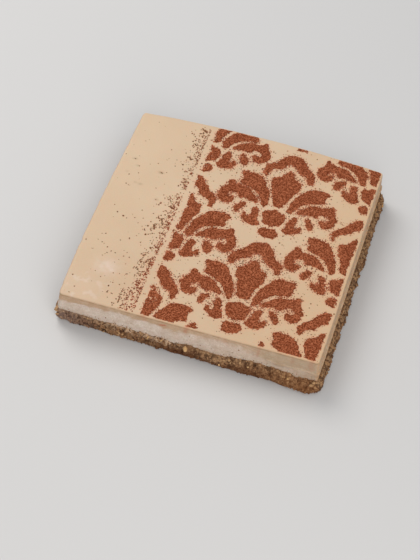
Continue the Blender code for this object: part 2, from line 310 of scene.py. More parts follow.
class Paint:
    # Makes one finish from a piece's looks and tones, which its methods take by name. A look spreads
    # a value between its first two limits, and gives it out between the two numbers after them, or
    # between 0 and 1. Along an axis the limits are places, and a noise has its size and detail first.
    def __init__(self, name, looks, tones, **sockets):
        self.finish = bpy.data.materials.new(name)
        self.finish.use_nodes = True
        self.tree = self.finish.node_tree
        self.shader = self.tree.nodes["Principled BSDF"]
        self.looks, self.tones = looks, tones
        for socket, value in sockets.items():
            self.shader.inputs[socket.replace("_", " ")].default_value = value

    def node(self, kind, inputs, **settings):
        # a shader node; an input is a number, a tone or another node's output
        node = self.tree.nodes.new("ShaderNode" + kind)
        for setting, value in settings.items():
            setattr(node, setting, value)
        for socket, value in inputs.items():
            if isinstance(value, bpy.types.NodeSocket):
                self.tree.links.new(value, node.inputs[socket])
            elif isinstance(value, str):
                node.inputs[socket].default_value = linear(self.tones.get(value, value))
            else:
                node.inputs[socket].default_value = value
        return node

    def look(self, look):
        return self.looks[look] if isinstance(look, str) else look

    def spread(self, value, look):
        # carries a value from one range to another, which is 0 to 1 if not given, held at its ends
        low, high, toLow, toHigh = [*self.look(look), 0, 1][:4]
        ends = {"From Min": low, "From Max": high, "To Min": toLow, "To Max": toHigh}
        return self.node("MapRange", {"Value": value, **ends}).outputs["Result"]

    def place(self):
        return self.node("TexCoord", {}).outputs["Object"]

    def grain(self, look):
        # noise with features of about so many millimetres
        size, detail, *limits = self.look(look)
        sized = self.node("Mapping", {"Vector": self.place(), "Scale": [1 / (size * mm)] * 3})
        waves = self.node("TexNoise", {"Vector": sized.outputs[0], "Scale": 1, "Detail": detail})
        return self.spread(waves.outputs["Fac"], limits)

    def along(self, look):
        # a value that changes between two places on an axis of the object
        axis, low, high, *values = self.look(look)
        parts = self.node("SeparateXYZ", {"Vector": self.place()})
        return self.spread(parts.outputs[axis], (low * mm, high * mm, *values))

    def between(self, look):
        # 1 between two places on an axis of the object, and 0 away from them
        axis, low, high, soft = self.look(look)
        return self.product(self.along((axis, low - soft, low)), self.along((axis, high + soft, high)))

    def mark(self, name, look=None):
        # a number kept at the piece's points
        value = self.node("Attribute", {}, attribute_name=name).outputs["Fac"]
        return self.spread(value, look) if look else value

    def mathOf(self, operation, first, second=0):
        return self.node("Math", {0: first, 1: second}, operation=operation).outputs[0]

    def product(self, first, *others):
        for value in others:
            first = self.mathOf("MULTIPLY", first, self.look(value))
        return first

    def coated(self, colour, *coats):
        # a colour with others laid over it in turn, each given as its share and its tone
        for share, coat in coats:
            colour = self.node("Mix", {0: share, 6: colour, 7: coat}, data_type="RGBA").outputs[2]
        return colour

    def finished(self, colour, height, depth):
        # the finish in that colour, with relief of about that many millimetres
        self.tree.links.new(colour, self.shader.inputs["Base Color"])
        reach = self.look(depth) * mm
        bump = self.node("Bump", {"Height": height, "Strength": 1, "Distance": reach})
        self.tree.links.new(bump.outputs[0], self.shader.inputs["Normal"])
        return self.finish


# Where the cocoa lies: a fine grid over the top, 1 inside the stencil's shapes

cocoa = {
    "cell": 0.45,
    "left": -72, "right": 99.4, "front": -100.4, "back": 106.4,
    "reliefShare": 0.8,  # the share of the relief's height that counts as its top
    "backTip": ((33, 102.7), (4.6, 1.6)),  # the end of one more shape, its middle and its reach
    "edgeBlur": 0.7,
    "edgeField": (0.01, 0.98),  # values of the blurred shapes that count as their edge
    "grown": (0.04, 0.2),  # lets it spread past the stencil's edge, more so in dusty places
    "shrunk": 0.09,  # and less so near the middle of the right side
    "rightAcross": (42, 70), "rightDeep": (62, 45),
    "leftEdge": (-38.3, -39.7),  # where the stencil's first strip starts
    "leftShrunk": 0.4,
    "edgeMargin": 0.9,  # how far from the cream's edge it ends
    # noises: a seed, then pairs of size and height
    "ragged": (31, (8, 0.2), (3.4, 0.34), (1.6, 0.5), (0.9, 0.45)),
    "holes": (37, (1.8, 0.4), (1.1, 0.7)),
    "bumps": (47, (2.1, 0.26), (1.1, 0.3)),
    "thinned": 0.36, "leastThinned": 0.02,  # how much is missing where it lies thinnest, and least
    "patch": (9, 83),  # size and seed of the wider dusty patches
    "patchLimits": (-0.25, 0.45), "patchShare": 0.3,
    "placeShare": 0.8, "placeSteep": 1.2, "sparseSteep": 1.5,
    "thin": 0.1,  # height of the powder at its edges
    "thinBumps": 0.3,  # the share of its bumps there
    "rise": 0.6, "riseLimits": (0.5, 1),  # how far in from the edge it comes to its full height
    "least": 0.06,
    "sunk": 0.15,
    "jitter": 0.12,
    "specksTint": (1.3, 7),  # how the stray grains tint the cream: blur and strength
    "shapesTint": (0.5, 0.5),  # and how the shapes do near them: least, and more in dusty places
    "looks": {
        "clumps": (2.2, 3, 0.35, 0.65),
        "dots": (1.15, 2, 0.44, 0.58), "dotShare": 0.95,
        "thinEdge": (0.1, 0.7, 0.4, 0),
        "bump": 0.4,
    },
    "tones": {
        "dark": "#6c3015", "mid": "#9a5335", "light": "#b66c4a", "edge": "#b8694c",
    },
}


def reliefMask(xs, ys):
    # 1 at the grid points that the relief's top covers
    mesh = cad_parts["coffee_topping"].data
    heights = np.array([vert.co.z for vert in mesh.vertices]) / mm
    plan = np.array([vert.co.xy for vert in mesh.vertices]) / mm - middle
    mask = np.zeros((len(xs), len(ys)))
    for face in mesh.polygons:
        verts = list(face.vertices)
        if heights[verts].min() < topHeight + cake["reliefHeight"] * cocoa["reliefShare"]:
            continue
        a, b, c = plan[verts[0]], plan[verts[1]], plan[verts[2]]
        low, high = np.minimum(np.minimum(a, b), c), np.maximum(np.maximum(a, b), c)
        i0, i1 = np.searchsorted(xs, (low[0], high[0]))
        j0, j1 = np.searchsorted(ys, (low[1], high[1]))
        px, py = np.meshgrid(xs[i0:i1], ys[j0:j1], indexing="ij")
        sides = [(q[0] - p[0]) * (py - p[1]) - (q[1] - p[1]) * (px - p[0])
                 for p, q in ((a, b), (b, c), (c, a))]
        mask[i0:i1, j0:j1][np.min(sides, axis=0) >= -1e-6] = 1
    return mask


def raggedMask(mask):
    # the same shapes with the uneven edges that sifted powder has
    field = blurred(mask, cocoa["edgeBlur"] / cocoa["cell"]).ravel()
    low, high = cocoa["edgeField"]
    edge = (field > low) & (field < high)
    across, deep = gridPoints[edge, 0], np.abs(gridPoints[edge, 1])
    least, most = cocoa["grown"]
    spilt = least + (most - least) * dusty.ravel()[edge]
    nearRight = ease(*cocoa["rightAcross"], across) * ease(*cocoa["rightDeep"], deep)
    field[edge] += spilt * (1 - nearRight) - cocoa["shrunk"] * nearRight
    field[edge] -= cocoa["leftShrunk"] * ease(*cocoa["leftEdge"], across)
    field[edge] += layeredNoise(gridPoints[edge], *cocoa["ragged"])
    thinned = field * np.clip(bellsAt(gridPoints, sparsePlaces, cocoa["sparseSteep"]), 0, 1)
    some = thinned > cocoa["leastThinned"]
    holes = cocoa["thinned"] + layeredNoise(gridPoints[some], *cocoa["holes"])
    field[some] -= thinned[some] * holes
    onTop = insideRing(gridPoints[:, :2] + middle, outline, cocoa["edgeMargin"])
    return ((field > 0.5) & onTop).reshape(mask.shape)


def bellsAt(points, places, steep):
    # the sum of bell curves over places that are given as across, deep and reach
    total = np.zeros(len(points))
    for across, deep, reach in places:
        away = (points[:, 0] - across) ** 2 + (points[:, 1] - deep) ** 2
        total += np.exp(-steep * away / reach ** 2)
    return total


# Where the gaps between the shapes caught more dust: across, deep and reach.
dustyPlaces = (
    (3, -22, 13), (-30, -15, 9), (-8, -14, 8), (22, -25, 9), (-8, -58, 8), (6, -64, 8), (-30, -70, 9),
    (-25, -57, 8), (27, -16, 9), (40, -22, 8), (58, -14, 10), (72, -22, 12), (55, -30, 9), (88, -30, 7),
    (52, -66, 9), (40, -66, 7), (62, -60, 6), (72, -40, 8), (-8, 78, 11), (10, 68, 9), (-10, 35, 10),
    (2, 20, 10), (-33, 28, 5), (57, 16, 12), (35, 82, 12), (42, 72, 8), (75, 77, 9), (60, 86, 7),
    (-40, -8, 6), (-38, -32, 5), (75, 22, 6), (-2, 50, 8), (-14, 64, 8), (50, 38, 8), (66, 36, 6),
)


def dustyGrid():
    # 1 in the middle of each dusty place, with the noise of sifted powder over all
    patches = ease(*cocoa["patchLimits"], softNoise(gridPoints, *cocoa["patch"]))
    bells = bellsAt(gridPoints, dustyPlaces, cocoa["placeSteep"])
    total = cocoa["patchShare"] * patches + cocoa["placeShare"] * bells
    return np.clip(total, 0, 1).reshape(len(gridXs), len(gridYs))


# Where the powder is thinnest: across, deep and reach.
sparsePlaces = (
    (-35, -84, 9), (-38, -73, 4), (-39, -22, 5), (-36, 76, 8), (-38, 92, 5), (-36, 14, 5), (-36, 60, 5),
    (52, 28, 5), (57, -71, 5), (-3, -70, 5), (78, -26, 6), (-12, 80, 5), (-30, 45, 6), (4, 28, 5),
)

gridXs = np.arange(cocoa["left"], cocoa["right"], cocoa["cell"])
gridYs = np.arange(cocoa["front"], cocoa["back"], cocoa["cell"])
gridPlan = [part.ravel() for part in np.meshgrid(gridXs, gridYs, indexing="ij")]
gridPoints = flatPoints(np.column_stack(gridPlan))
dusty = dustyGrid()
stencilMask = reliefMask(gridXs, gridYs)
tipMiddle, tipReach = cocoa["backTip"]
tipAway = (((gridPoints[:, :2] - tipMiddle) / tipReach) ** 2).sum(1)
stencilMask[(tipAway < 1).reshape(stencilMask.shape)] = 1
cocoaMask = raggedMask(stencilMask)
print("cocoa covers", round(cocoaMask.sum() * cocoa["cell"] ** 2), "square mm")


# Where stray cocoa lies: a band of overspill left of the stencil, specks between the shapes,
# and a few on the plain side

stray = {
    "bandRight": -43.7,
    "lean": 0.0086,
    # the band's stretches: their middles from front to back, its reach to the left and its fullness
    "stretches": ((-87, 7, 1.3), (-62, 6.5, 1), (-37, 5, 0.75), (-12, 6, 0.95), (12, 4.7, 0.8),
                  (37, 3.8, 0.35), (62, 6.5, 0.5), (87, 4.2, 0.75)),
    "stretchLength": 25,
    "clusters": 32, "grains": 5, "clusterSize": 1,
    "loose": 70,
    "crowding": 1.2,  # how close to the band's edge its grains keep
    "edgeBlur": 0.35,
    "field": 50, "fieldFree": 8,  # grains on the plain side, and how far from the band
    # grains between the shapes: the reach of a shape, how fast its grains thin out, and their number
    "gaps": ((1, 2, 3200), (3.5, 2, 2600), (7, 0.7, 650)),
    "leastDusty": 0.1,
    "nearBlur": 1.6,
    "redReach": (7, 1),  # how far left of the band's edge its grains are brown, and red
    "redFront": 6,  # and how much further at the front
    "redFrontFrom": (-50, -90),
    "redShare": 0.85,
    "backLess": 0.6, "backFrom": (5, 40),  # how much less red they are at the back, and where
    "redNear": (0, 0.3),
    "redUneven": (0.5, 1),
    "margin": 0.9,
    "plainSize": (0.4, 0.65), "size": (0.26, 0.64), "gapSize": (0.2, 0.56),
    "smaller": 1.3,  # the higher, the more of them are small
    "flatten": 0.5, "uneven": 0.3, "lifted": 0.1,
    "tones": {
        "dark": "#7d3f2a", "mid": "#a4583d", "light": "#bb6b4d", "edge": "#76573a",
    },
}

# The plainest specks on the plain side: across and deep.
plainSpecks = (
    (-99.5, 52), (-91, 49.5), (-85.5, 43), (-90.5, 32), (-89.5, 22), (-87.5, 21), (-67, 42), (-66, 41.6),
    (-63, 43.5), (-66, 25), (-62.5, 13.5), (-60.5, 9), (-56, 17), (-81, -11), (-69, -0.5), (-88, -32.5),
    (-68, -14), (-64, -16.5), (-64, -24.5), (-65, -27), (-69.5, -31), (-69.2, -31.8), (-59, -23.5),
    (-88, -41.5), (-86, -42.5), (-82.5, -45), (-78.5, -48), (-75, -48.5), (-81, -50.5), (-82, -52),
    (-83.5, -54), (-66.5, -45.5), (-63.5, -49.5), (-72.5, -57.5), (-64, -56.5), (-98.5, -79.5),
    (-93.5, -90), (-95.5, -96.5), (-78, -74.5), (-70, -68), (-65.5, -67), (-67.5, -77), (-69.5, -81),
    (-64.5, -87.5), (-100.5, -43),
)


def shapesBlurred(reach):
    return blurred(cocoaMask.astype(float), reach / cocoa["cell"])


shapesNear = shapesBlurred(stray["nearBlur"])


def cellsOf(plan):
    # the grid's cells that places in plan lie in, and which of the places lie in one
    across = np.round((plan[:, 0] - cocoa["left"]) / cocoa["cell"]).astype(int)
    deep = np.round((plan[:, 1] - cocoa["front"]) / cocoa["cell"]).astype(int)
    inside = (across >= 0) & (across < len(gridXs)) & (deep >= 0) & (deep < len(gridYs))
    return (across[inside], deep[inside]), inside


def gridAt(grid, plan):
    # a grid's values at places in plan, 0 beyond it
    cells, inside = cellsOf(plan)
    found = np.zeros(len(plan))
    found[inside] = grid[cells]
    return found


def bandPlaces(draw):
    # clusters and loose grains, up to the straight edge that the stencil's strip leaves
    places = []
    for centre, reach, fullness in stray["stretches"]:
        clusters, loose = round(stray["clusters"] * fullness), round(stray["loose"] * fullness)
        count = clusters + loose
        away = np.abs(draw.normal(size=count)) ** stray["crowding"] * reach
        plan = np.column_stack([-away, centre + draw.uniform(-0.5, 0.5, count) * stray["stretchLength"]])
        plan = np.repeat(plan, [stray["grains"]] * clusters + [1] * loose, axis=0)
        places.append(plan + draw.normal(size=plan.shape) * stray["clusterSize"])
    places = np.vstack(places)
    edge = draw.normal(size=len(places)) * stray["edgeBlur"]
    places[:, 0] = -np.abs(places[:, 0]) + edge + stray["bandRight"] + stray["lean"] * places[:, 1]
    return places


def gapPlaces(draw):
    # specks between the shapes, most of them where the shapes are close, and in the dusty places
    places = []
    for reach, falling, count in stray["gaps"]:
        near = shapesBlurred(reach)
        chances = (near ** falling * (stray["leastDusty"] + dusty) * ~cocoaMask).ravel()
        picked = draw.choice(len(chances), count, p=chances / chances.sum())
        places.append(gridPoints[picked, :2] + draw.uniform(-0.5, 0.5, (count, 2)) * cocoa["cell"])
    return np.vstack(places)


def speckPlaces():
    draw = drawOf("speckPlaces")
    half = cake["halfSide"]
    right = stray["bandRight"] - stray["fieldFree"]
    field = draw.uniform((-half, -half), (right, half), (stray["field"], 2))
    groups = [(np.array(plainSpecks), stray["plainSize"]), (bandPlaces(draw), stray["size"]),
              (gapPlaces(draw), stray["gapSize"]), (field, stray["gapSize"])]
    plan = np.vstack([places for places, _ in groups])
    sizes = np.concatenate([drawSizes(draw, limits, len(places), stray["smaller"])
                            for places, limits in groups])
    kept = insideRing(plan + middle, outline, stray["margin"])
    return plan[kept], sizes[kept]


# The creams

cream = {
    "topSpacing": 1.05,
    "crisp": 50,
    "edgeRound": 0.8,
    "edgeSteps": 5,
    "coffeeRows": 14, "topAbove": 20.0,  # the height above the seam that the top counts as
    "paleRows": 12,
    "sideTop": 1.4,  # how far under the top a side is read at its highest
    "clear": 0.1,  # and how far from the seam and the foot
    "seamInside": 1.5,  # how far inside the outline the seam's height is read
    "rightDrop": 1.8,  # how much lower the creams' foot is on the right
    # noises: a seed, then pairs of size and height
    "footWave": (5.2, (5, 0.7), (1.8, 0.5)),
    "grit": (71, (2.2, 0.12), (1.1, 0.09)),
    "notches": (13, (9, 0.8), (3.5, 0.35)),  # bites along the left and back edges
    "topWaves": (21, (38, 0.1), (9, 0.04), (2.2, 0.02)),
    "streaks": ((15, 1.3, 0.1), (5, 0.9, 0.07)),  # length, height and depth of the knife's marks
    "streakSeed": 3.7,
    "notchShares": (0.25, 0.75),  # how much of them shows everywhere, and how much more there
    "notchShallow": 0.08,  # what is too shallow to show
    "notchFade": 2.5,
    "slant": 0.9, "mottled": 0.9,
    "mottle": ((1, 91, (5, 1.3, 1)), (1.5, 97)),  # size and seed, and how far it is stretched
    # the depths over which a side begins, and dust and haze end
    "cut": (0.35, 1.1), "dustEnd": (1.5, 0.5), "hazeEnd": (1, 0.5), "onTop": 0.4,
    "smearEnd": (3, 1),  # how far behind the front side the smears reach
    "dampWide": 1.6,  # how much wider than deep the damp marks are
    "tones": {
        "coffee": "#d6bc9e",
        "coffeeDeep": "#ccaf90",
        "cutCoffee": "#d1b497",
        "cutCoffeeDeep": "#c3a488",
        "cutGrey": "#aaa797",
        "pale": "#e8dbd0",
        "paleDeep": "#d8c7b9",
        "tan": "#ecc69e",
        "tanDeep": "#bf946b",
        "smear": "#b5573a",
        "dust": "#ec9b6c",
        "warm": "#d3ad84",
        "haze": "#e4d2c8",
        "damp": "#a08a6c",
        "rim": "#a07a50",
        "grime": "#a58463",
    },
    "looks": {
        # the sides
        "mottle": (-0.7, 0.7), "mottled": (0, 1, 0.3, 0),
        "blotch": (7, 3, 0.3, 0.7),
        "sideFine": (1.1, 3, 0.35, 0.65, 0, 0.3),
        "greyCoffee": ("X", 45, 62, 0, 0.3),
        "paleCoffee": ("X", 16, 46, 12), "paleCoffeeShare": 0.14,
        "darkPale": ("X", -5, 60, 0, 0.42), "darkPaleEnd": ("X", 80, 93, 0, 0.6),
        "deepTan": ("Y", 15, -15), "deepTanHigh": (10, 2, 0, 0.7), "tanBlotch": 0.8, "tanShare": 0.9,
        # the border between the two creams wanders up and down between two heights
        "blotchShift": (0, 1, -1.8, 1.8), "mottleShift": (0, 1, -1, 1),
        "borderLow": ("X", -60, 60, -1.7, -4.4), "borderTop": ("X", 0, 70, 1.1, 0.3),
        # the top
        "patches": (45, 2, 0.3, 0.7, 0, 0.5), "deepFront": ("Y", 20, -100, 0, 0.5),
        "warm": ("X", 25, 80, 0, 0.35),
        "unevenDust": (1.5, 2, 0.35, 0.65, 0.35, 1.1),
        "haze": 0.7,
        # both
        "fine": (0.9, 3, 0.3, 0.7), "fineShare": 0.07,
        "rimDepth": 1.5, "rimReach": (0.9, 0), "rimUneven": (4, 3, 0.35, 0.6, 0.1, 0.8),
        "cutBump": (0, 1, 0.25, 1), "bump": 0.14,
    },
    "haze": {
        "patch": (-77, -63.5),  # the wiped patch: its middle, reach and strength
        "reach": (8, 7), "strength": 1.15,
        "uneven": (0.6, 0.8, 4, 63),  # two shares, and the noise's size and seed
        "acrossFrom": (-58, -84), "deepFrom": (-66, -84),
        "ripples": ((6, 61), (3.2, 67)), "rippleShares": (0.1, 0.4), "rippleLimits": (0, 0.3),
        "creases": 0.8,
    },
}

# The cream's foot along the front: places across the cake, and its depth below the top.
footLine = ((-100, 18.9), (-94, 19), (-85, 18.8), (-76, 19.6), (-68, 20.6), (-61, 19), (-55, 20.2),
            (-46, 20.8), (-40, 20.9), (-33, 20.4), (-28, 21), (-20, 20.2), (-14, 22.2), (-7, 22.2),
            (0, 19.9), (5, 20.8), (12, 21.9), (20, 22.2), (28, 22.7), (36, 20.4), (42, 19.9),
            (50, 19.4), (57, 19.5), (64, 19.8), (70, 20), (78, 20.8), (84, 23.6), (90, 22.4),
            (100, 21.5))

# Cocoa wiped over the front edge: from a place and depth to another, its width and its strength.
smears = (((-22.3, 5.2), (-18.6, 4.2), 0.8, 0.8), ((-1.5, 0), (-3.2, 5.5), 1.6, 0.35),
          ((-36, 0), (-34.5, 4), 2.2, 0.22), ((54.2, 0.5), (53, 12), 1.1, 0.25),
          ((80, 1.5), (79.5, 8), 1.2, 0.15), ((94, 2), (94.5, 9), 2, 0.2), ((28, 2), (29, 8), 1.5, 0.12))


def sideShare(outward, way):
    # 1 where a side faces that way, 0 where it doesn't
    return ease(*cake["facing"], outward @ np.array(way))


innerLine = outline - cream["seamInside"] * outward
seam = heightsUnder(paleTree, innerLine, topHeight + cake["rayStart"], -1) + cake["gap"]
solidFoot = heightsUnder(paleTree, innerLine, -cake["rayStart"], 1)
frontShare = sideShare(outward, (0, -1))
drawnFoot = topHeight - np.interp(outline[:, 0] - middle[0], *np.array(footLine).T)
footNoise = layeredNoise(flatPoints(outline), *cream["footWave"])
foot = solidFoot - cream["rightDrop"] * sideShare(outward, (1, 0)) + footNoise
foot += (drawnFoot - solidFoot) * frontShare
sideTop = topHeight - cream["sideTop"]
specks, speckSizes = speckPlaces()


def dustGrid():
    # how much fine cocoa tints the cream
    counts = np.zeros(cocoaMask.shape)
    cells, inside = cellsOf(specks)
    np.add.at(counts, cells, speckSizes[inside] ** 2)
    blur, strength = cocoa["specksTint"]
    specky = blurred(counts, blur / cocoa["cell"]) * strength
    least, more = cocoa["shapesTint"]
    return np.clip(specky + shapesNear * (least + more * dusty), 0, 1)


dust = dustGrid()


def hazeAt(points):
    # a wiped, paler patch and faint ripples on the plain side, near its front corner
    haze = cream["haze"]
    plan = points[:, :2] - middle
    patch = haze["strength"] * np.exp(-(((plan - haze["patch"]) / haze["reach"]) ** 2).sum(1))
    corner = ease(*haze["acrossFrom"], plan[:, 0]) * ease(*haze["deepFrom"], plan[:, 1])
    flat = flatPoints(plan)
    waves, creases = [softNoise(flat, *noises) for noises in haze["ripples"]]
    least, more = haze["rippleShares"]
    ripples = least + more * ease(*haze["rippleLimits"], waves - haze["creases"] * np.abs(creases))
    even, uneven, size, seed = haze["uneven"]
    return np.clip(patch * (even + uneven * softNoise(flat, size, seed)) + corner * ripples, 0, 1)


# Faint damp marks on the plain side: across, deep, reach and strength.
dampMarks = ((-67.3, 42, 1.9, 0.85), (-79, 25, 1.8, 0.5), (-83.2, 25.6, 1.4, 0.4), (-91, 49.7, 1.7, 0.5),
             (-62, 13.7, 1.6, 0.5), (-87, 43, 1.4, 0.4), (-93, 34.5, 1.4, 0.3))


def dampAt(points):
    plan = points[:, :2] - middle
    total = np.zeros(len(points))
    for across, deep, reach, strength in dampMarks:
        away = (plan[:, 0] - across) ** 2 + (cream["dampWide"] * (plan[:, 1] - deep)) ** 2
        total = np.maximum(total, strength * np.exp(-away / reach ** 2))
    return total


def smearAt(points):
    depth = topHeight - points[:, 2]
    across = points[:, 0] - middle[0]
    onFront = ease(*cream["smearEnd"], points[:, 1] - middle[1] + cake["halfSide"])
    total = np.zeros(len(points))
    for (x0, d0), (x1, d1), width, strength in smears:
        share = (across - x0) * (x1 - x0) + (depth - d0) * (d1 - d0)
        share = np.clip(share / ((x1 - x0) ** 2 + (d1 - d0) ** 2), 0, 1)
        away = np.hypot(across - (x0 + (x1 - x0) * share), (depth - (d0 + (d1 - d0) * share)))
        total = np.maximum(total, strength * np.exp(-(away / width) ** 2))
    return total * onFront


def topWaves(points):
    # gentle unevenness of the set cream
    return layeredNoise(flatPoints(points), *cream["topWaves"])


def sideRelief(ring):
    # how far the knife's streaks and the cream's own grit move a side in or out
    flat = flatPoints(np.column_stack([walked, ring[:, 2]]))
    streaks = sum(depth * softNoise(flat, 1, cream["streakSeed"] + length, (length, height, 1))
                  for length, height, depth in cream["streaks"])
    return streaks + layeredNoise(ring, *cream["grit"])


def edgeNotches():
    # bites out of the top's edge where it was cut less cleanly
    least, more = cream["notchShares"]
    noticed = least + more * np.maximum(sideShare(outward, (-1, 0)), sideShare(outward, (0, 1)))
    flat = flatPoints(np.column_stack([walked, np.zeros(len(walked))]))
    return -noticed * np.maximum(0, layeredNoise(flat, *cream["notches"]) - cream["notchShallow"])


def sideWithMarks(tree, heights, low, high):
    ring = sideRing(tree, outline, outward, np.clip(heights, low, high))
    ring[:, 2] = heights
    ring[:, :2] += outward * sideRelief(ring)[:, None]
    return ring


def mottleOf(rings):
    # slanting streaks and grains of a cut side, from -1 to 1
    mottle = []
    for ring in rings:
        slanted = flatPoints(np.column_stack([walked + cream["slant"] * ring[:, 2], ring[:, 2]]))
        mottle.append(sum(cream["mottled"] * softNoise(slanted, *waves) for waves in cream["mottle"]))
    return np.clip(np.concatenate(mottle), -1, 1)


def ringMarks(rings, corners):
    # what the creams' finish needs to know at each point
    count = len(rings) * len(outline)
    above = np.full(len(corners), cream["topAbove"])
    above[:count] = np.concatenate([ring[:, 2] - seam for ring in rings])
    sides = np.zeros(len(corners))
    sides[:count] = np.tile(sideShare(outward, (1, 0)), len(rings))
    mottle = np.zeros(len(corners))
    mottle[:count] = mottleOf(rings)
    depth = topHeight - corners[:, 2]
    hazeEnd = ease(*cream["hazeEnd"], depth)
    return {"aboveSeam": above, "depth": depth, "cut": ease(*cream["cut"], depth), "side": sides,
            "dust": gridAt(dust, corners[:, :2] - middle) * ease(*cream["dustEnd"], depth),
            "haze": hazeAt(corners) * hazeEnd, "damp": dampAt(corners) * hazeEnd,
            "smear": smearAt(corners), "mottle": mottle}


def coffeeCream():
    radius = cream["edgeRound"] * (1 + sideShare(outward, (-1, 0)))
    edgeSide = sideWithMarks(coffeeTree, np.full(len(outline), sideTop), 0, topHeight)
    notches = edgeNotches()
    rings = []
    for turn in np.linspace(0, math.pi / 2, cream["edgeSteps"]):
        ring = edgeSide.copy()
        ring[:, :2] += outward * (notches - radius * (1 - math.sin(turn)))[:, None]
        ring[:, 2] = topHeight - radius * (1 - math.cos(turn))
        rings.append(ring)
    for share in np.linspace(0, 1, cream["coffeeRows"])[1:]:
        heights = (topHeight - radius) * (1 - share) + seam * share
        ring = sideWithMarks(coffeeTree, heights, seam + cream["clear"], sideTop)
        ring[:, :2] += outward * (notches * max(0, 1 - cream["notchFade"] * share))[:, None]
        rings.append(ring)
    corners, faces = loft(rings, cream["topSpacing"])
    marks = ringMarks(rings, corners)
    onTop = corners[:, 2] > topHeight - cream["onTop"]
    corners[onTop, 2] += topWaves(corners[onTop, :2])
    return corners, faces, marks


def paleCream():
    # its top follows the coffee layer's foot, so that no step shows between the two
    rings = []
    lowest, highest = solidFoot + cream["clear"], seam - cake["gap"] - cream["clear"]
    above = sideWithMarks(coffeeTree, seam, seam + cream["clear"], sideTop)
    step = (above - sideWithMarks(paleTree, seam, lowest, highest))[:, :2]
    for share in np.linspace(0, 1, cream["paleRows"]):
        heights = seam * (1 - share) + foot * share
        rings.append(sideWithMarks(paleTree, heights, lowest, highest))
        rings[-1][:, :2] += step * max(0, 1 - 2 * share)
    corners, faces = loft(rings)
    return corners, faces, ringMarks(rings, corners)


def sideColour(paint):
    # the cut sides: coffee above the seam, paler below it, but tan all over on the right
    mottle, blotch = paint.mark("mottle", "mottle"), paint.grain("blotch")
    coffee = paint.coated("cutCoffee", (blotch, "cutCoffeeDeep"))
    pale = paint.coated("pale", (blotch, "paleDeep"))
    paler = paint.product(paint.between("paleCoffee"), "paleCoffeeShare")
    coffee = paint.coated(coffee, (paint.along("greyCoffee"), "cutGrey"), (paler, pale))
    pale = paint.coated(pale, (paint.along("darkPale"), coffee), (paint.along("darkPaleEnd"), coffee))
    deeper = paint.product(paint.along("deepTan"), paint.mark("depth", "deepTanHigh"))
    deeper = paint.mathOf("MAXIMUM", paint.product(blotch, "tanBlotch"), deeper)
    tan = paint.coated("tan", (deeper, "tanDeep"))
    shift = paint.mathOf("ADD", paint.spread(blotch, "blotchShift"), paint.spread(mottle, "mottleShift"))
    height = paint.mathOf("ADD", paint.mark("aboveSeam"), shift)
    share = paint.spread(height, (paint.along("borderLow"), paint.along("borderTop")))
    return paint.coated(pale, (share, coffee), (paint.product(paint.mark("side"), "tanShare"), tan),
                        (paint.grain("sideFine"), "grime"), (paint.spread(mottle, "mottled"), "grime"))


def topColour(paint):
    patches = paint.mathOf("ADD", paint.grain("patches"), paint.along("deepFront"))
    dusted = paint.product(paint.mark("dust"), paint.grain("unevenDust"))
    hazy = paint.product(paint.mark("haze"), "haze")
    return paint.coated("coffee", (patches, "coffeeDeep"), (paint.along("warm"), "warm"),
                        (dusted, "dust"), (paint.mark("damp"), "damp"), (hazy, "haze"))


def creamFinish(name):
    paint = Paint(name, cream["looks"], cream["tones"], Roughness=0.5, Subsurface_Weight=0.1,
                  Subsurface_Scale=0.002, Specular_IOR_Level=0.3)
    fine = paint.grain("fine")
    fromRim = paint.mathOf("SUBTRACT", paint.mark("depth"), paint.look("rimDepth"))
    rim = paint.spread(paint.mathOf("ABSOLUTE", fromRim), "rimReach")
    rim = paint.product(rim, paint.grain("rimUneven"))
    colour = paint.coated(topColour(paint), (paint.mark("cut"), sideColour(paint)), (rim, "rim"),
                          (paint.product(fine, "fineShare"), "rim"), (paint.mark("smear"), "smear"))
    return paint.finished(colour, paint.product(fine, paint.mark("cut", "cutBump")), "bump")


corners, faces, marks = coffeeCream()
meshPiece("coffeeCream", corners, faces, creamFinish("coffeeCreamFinish"),
          ["coffee_topping"], marks, cream["crisp"])
corners, faces, marks = paleCream()
meshPiece("paleCream", corners, faces, creamFinish("paleCreamFinish"),
          ["cheesecake_layer"], marks, cream["crisp"])


# The crumb base

